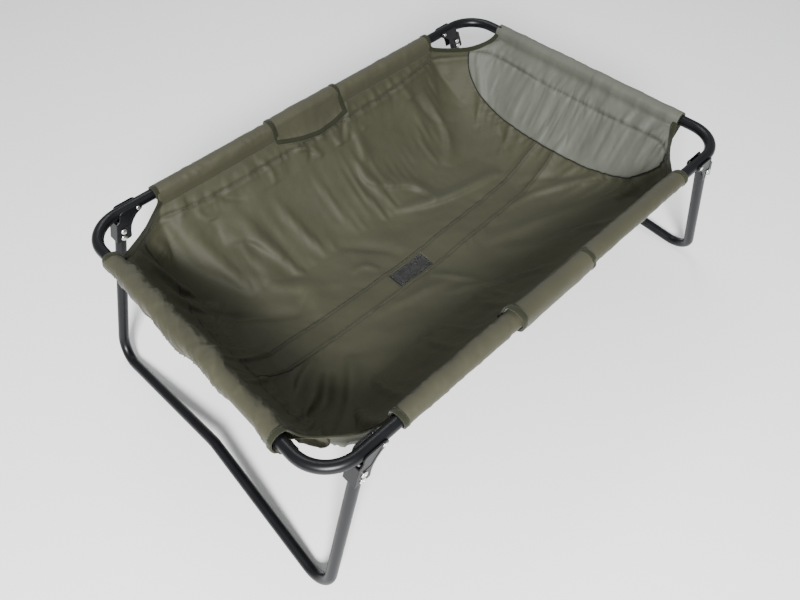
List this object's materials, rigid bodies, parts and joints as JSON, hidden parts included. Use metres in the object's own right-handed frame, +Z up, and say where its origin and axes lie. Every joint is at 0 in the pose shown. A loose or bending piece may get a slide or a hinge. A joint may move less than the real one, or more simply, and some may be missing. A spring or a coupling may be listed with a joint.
{
  "type": "folding cradle",
  "caption": "Tubular steel frame on two folding U-shaped legs carrying a deep fabric trough with a padded end, a drain window and two carry grips.",
  "frame": {"origin": "on the ground under the middle of the frame", "axes": "+X along the length towards the padded end, +Y across the width, +Z up"},
  "size_m": [1.0852, 0.679, 0.351],
  "materials": {
    "frame_paint": "semi-gloss black powder coat",
    "leg_paint": "semi-gloss black powder coat",
    "bracket_paint": "semi-gloss black powder coat on pressed sheet",
    "zinc": "bright zinc plated",
    "inner_steel": "bare drawn steel",
    "sleeve_cloth": "coated woven nylon, matt",
    "grip_cloth": "coated woven nylon, matt",
    "binding_tape": "woven binding tape",
    "sling_cloth": "coated woven nylon with a slight sheen",
    "pad_cloth": "coated woven nylon, lighter grey green",
    "strip_cloth": "coated woven nylon, double stitched",
    "drain_net": "open black net"
  },
  "bodies": {
    "root": {"carry_grip_far": "grip_cloth", "carry_grip_near": "grip_cloth", "centre_strip": "strip_cloth", "corner_binding_far_left": "binding_tape", "corner_binding_far_right": "binding_tape", "corner_binding_near_left": "binding_tape", "corner_binding_near_right": "binding_tape", "drain_mesh": "drain_net", "end_sleeve_left": "sleeve_cloth", "end_sleeve_right": "sleeve_cloth", "frame_bow_left": "frame_paint", "frame_bow_right": "frame_paint", "head_pad": "pad_cloth", "rail_sleeve_far": "sleeve_cloth", "rail_sleeve_near": "sleeve_cloth", "rail_spigot_far": "inner_steel", "rail_spigot_near": "inner_steel", "sling": "sling_cloth", "spigot_pin_far_left": "zinc", "spigot_pin_far_right": "zinc", "spigot_pin_near_left": "zinc", "spigot_pin_near_right": "zinc"},
    "leg_left": {"hinge_bracket_far_left": "bracket_paint", "hinge_bracket_near_left": "bracket_paint", "leg_rivet_lower_far_left": "zinc", "leg_rivet_lower_near_left": "zinc", "leg_rivet_upper_far_left": "zinc", "leg_rivet_upper_near_left": "zinc", "leg_tube_left": "leg_paint", "pivot_rivet_far_left": "zinc", "pivot_rivet_near_left": "zinc"},
    "leg_right": {"hinge_bracket_far_right": "bracket_paint", "hinge_bracket_near_right": "bracket_paint", "leg_rivet_lower_far_right": "zinc", "leg_rivet_lower_near_right": "zinc", "leg_rivet_upper_far_right": "zinc", "leg_rivet_upper_near_right": "zinc", "leg_tube_right": "leg_paint", "pivot_rivet_far_right": "zinc", "pivot_rivet_near_right": "zinc"}
  },
  "joints": [
    {"name": "leg_left_fold", "type": "hinge", "parent": "root", "child": "leg_left", "pos_m": [-0.392, 0, 0.33475], "axis": [0, -1, 0], "range_deg": [0, 108], "deforming": ["sling", "centre_strip", "drain_mesh", "head_pad", "corner_binding_far_left", "corner_binding_far_right", "corner_binding_near_left", "corner_binding_near_right"]},
    {"name": "leg_right_fold", "type": "hinge", "parent": "root", "child": "leg_right", "pos_m": [0.392, 0, 0.33475], "axis": [0, 1, 0], "range_deg": [0, 108], "deforming": ["sling", "centre_strip", "drain_mesh", "head_pad", "corner_binding_far_left", "corner_binding_far_right", "corner_binding_near_left", "corner_binding_near_right"]}
  ]
}
